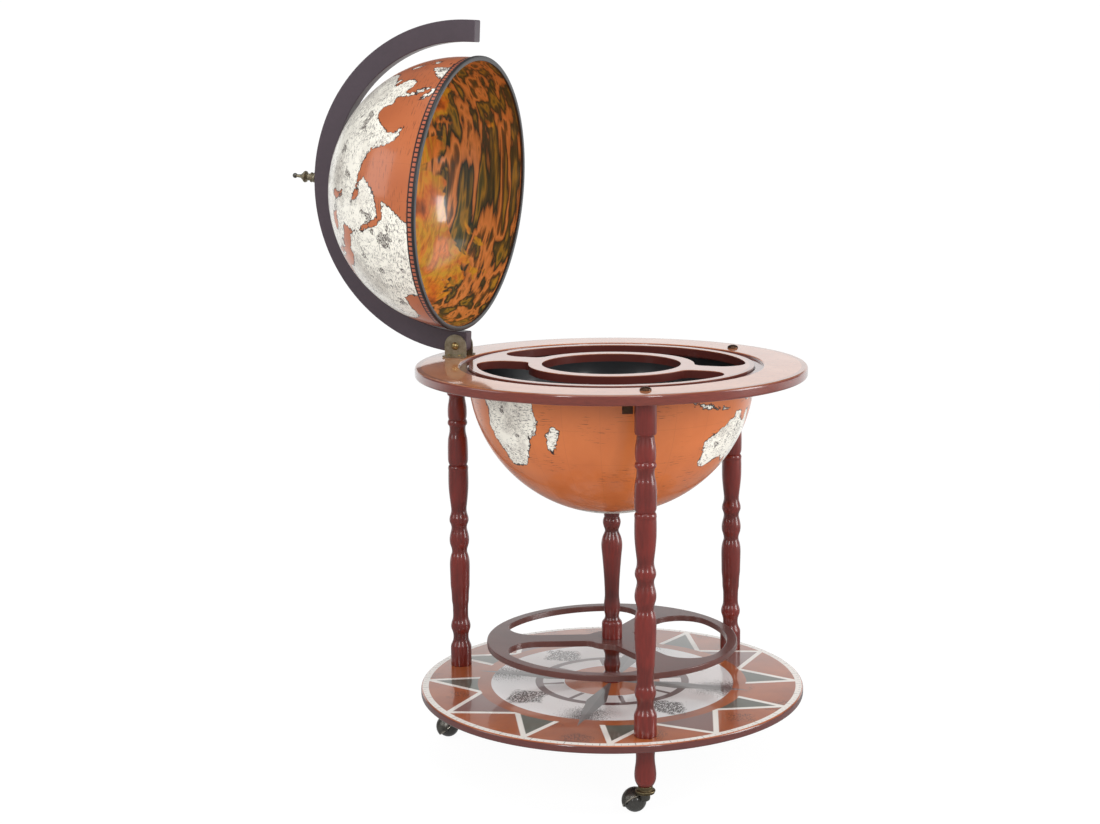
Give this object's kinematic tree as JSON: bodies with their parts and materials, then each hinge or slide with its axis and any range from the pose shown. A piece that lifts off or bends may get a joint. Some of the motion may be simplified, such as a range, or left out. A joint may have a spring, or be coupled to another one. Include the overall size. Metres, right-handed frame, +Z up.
{
  "type": "floor globe bar",
  "caption": "Floor globe bar: a round table on turned legs and casters, a world-map bowl below, a hinged world-map lid above, a bottle ring and a compass-rose base.",
  "frame": {"origin": "on the floor, under the centre of the table", "axes": "+Z up, the lid hinge and one leg on -X, +Y toward the back as the picture shows the part"},
  "size_m": [0.8112, 0.58, 1.1087],
  "materials": {
    "table_print": "printed paper under gloss lacquer on board, red-brown edge",
    "insert_print": "printed paper under gloss lacquer on board, dark red hole walls",
    "bowl_print": "satin printed world map outside, near black inside",
    "lid_print": "satin printed world map outside, glossy painted inside",
    "rim_trim": "dark glossy trim ring",
    "base_print": "printed compass rose under gloss lacquer, mahogany edge",
    "mahogany": "red mahogany gloss lacquer on turned wood",
    "ring_wood": "dark brown satin lacquer",
    "dark_wood": "dark purple-brown satin lacquer",
    "antique_brass": "antique brass",
    "caster_brass": "dark antique brass with worn bright edges",
    "pewter": "dark pewter plating",
    "wheel_plastic": "black"
  },
  "bodies": {
    "frame": {"table_ring": "table_print", "insert_plate": "insert_print", "globe_bowl": "bowl_print", "centre_post": "mahogany", "bottle_ring": "ring_wood", "post_spacer": "mahogany", "base_disc": "base_print", "hinge_ear_front": "antique_brass", "hinge_ear_back": "antique_brass", "hinge_pin": "antique_brass", "screw_cap_1": "antique_brass", "screw_cap_2": "antique_brass", "leg_1": "mahogany", "toe_1": "mahogany", "caster_plate_1": "caster_brass", "bowl_clip_1": "antique_brass", "clip_screw_1": "antique_brass", "leg_2": "mahogany", "toe_2": "mahogany", "caster_plate_2": "caster_brass", "bowl_clip_2": "antique_brass", "clip_screw_2": "antique_brass", "leg_3": "mahogany", "toe_3": "mahogany", "caster_plate_3": "caster_brass", "bowl_clip_3": "antique_brass", "clip_screw_3": "antique_brass", "foot_screw_1": "antique_brass", "foot_screw_2": "antique_brass", "foot_screw_3": "antique_brass", "foot_screw_4": "antique_brass"},
    "lid_arc": {"meridian_arc": "dark_wood"},
    "lid": {"lid_shell": "lid_print", "lid_rim": "rim_trim", "finial": "antique_brass", "finial_spacer": "antique_brass", "finial_nut": "antique_brass"},
    "swivel_1": {"caster_hood_1": "pewter", "caster_axle_1": "caster_brass"},
    "wheel_1": {"caster_wheel_1": "wheel_plastic"},
    "swivel_2": {"caster_hood_2": "pewter", "caster_axle_2": "caster_brass"},
    "wheel_2": {"caster_wheel_2": "wheel_plastic"},
    "swivel_3": {"caster_hood_3": "pewter", "caster_axle_3": "caster_brass"},
    "wheel_3": {"caster_wheel_3": "wheel_plastic"}
  },
  "joints": [
    {"name": "lid_hinge", "type": "hinge", "parent": "frame", "child": "lid_arc", "pos_m": [-0.246, 0, 0.6239], "axis": [0, 1, 0], "range_deg": [0, 87.3]},
    {"name": "lid_rock", "type": "hinge", "parent": "lid_arc", "child": "lid", "pos_m": [-0.46331, 0, 0.87191], "axis": [0, 1, 0], "range_deg": [-2.05, 0]},
    {"name": "caster_swivel_1", "type": "hinge", "parent": "frame", "child": "swivel_1", "pos_m": [-0.2505, 0, 0.034], "axis": [0, 0, 1], "continuous": true},
    {"name": "caster_roll_1", "type": "hinge", "parent": "swivel_1", "child": "wheel_1", "pos_m": [-0.27223, -0.00582, 0.0165], "axis": [0.2588, -0.9659, 0], "continuous": true},
    {"name": "caster_swivel_2", "type": "hinge", "parent": "frame", "child": "swivel_2", "pos_m": [0.12525, -0.21694, 0.034], "axis": [0, 0, 1], "continuous": true},
    {"name": "caster_roll_2", "type": "hinge", "parent": "swivel_2", "child": "wheel_2", "pos_m": [0.10596, -0.20535, 0.0165], "axis": [-0.515, -0.8572, 0], "continuous": true},
    {"name": "caster_swivel_3", "type": "hinge", "parent": "frame", "child": "swivel_3", "pos_m": [0.12525, 0.21694, 0.034], "axis": [0, 0, 1], "continuous": true},
    {"name": "caster_roll_3", "type": "hinge", "parent": "swivel_3", "child": "wheel_3", "pos_m": [0.14639, 0.20924, 0.0165], "axis": [0.342, 0.9397, 0], "continuous": true}
  ],
  "couplings": [
    {"joint": "lid_rock", "follows": "lid_hinge", "ratio": -0.023482}
  ]
}
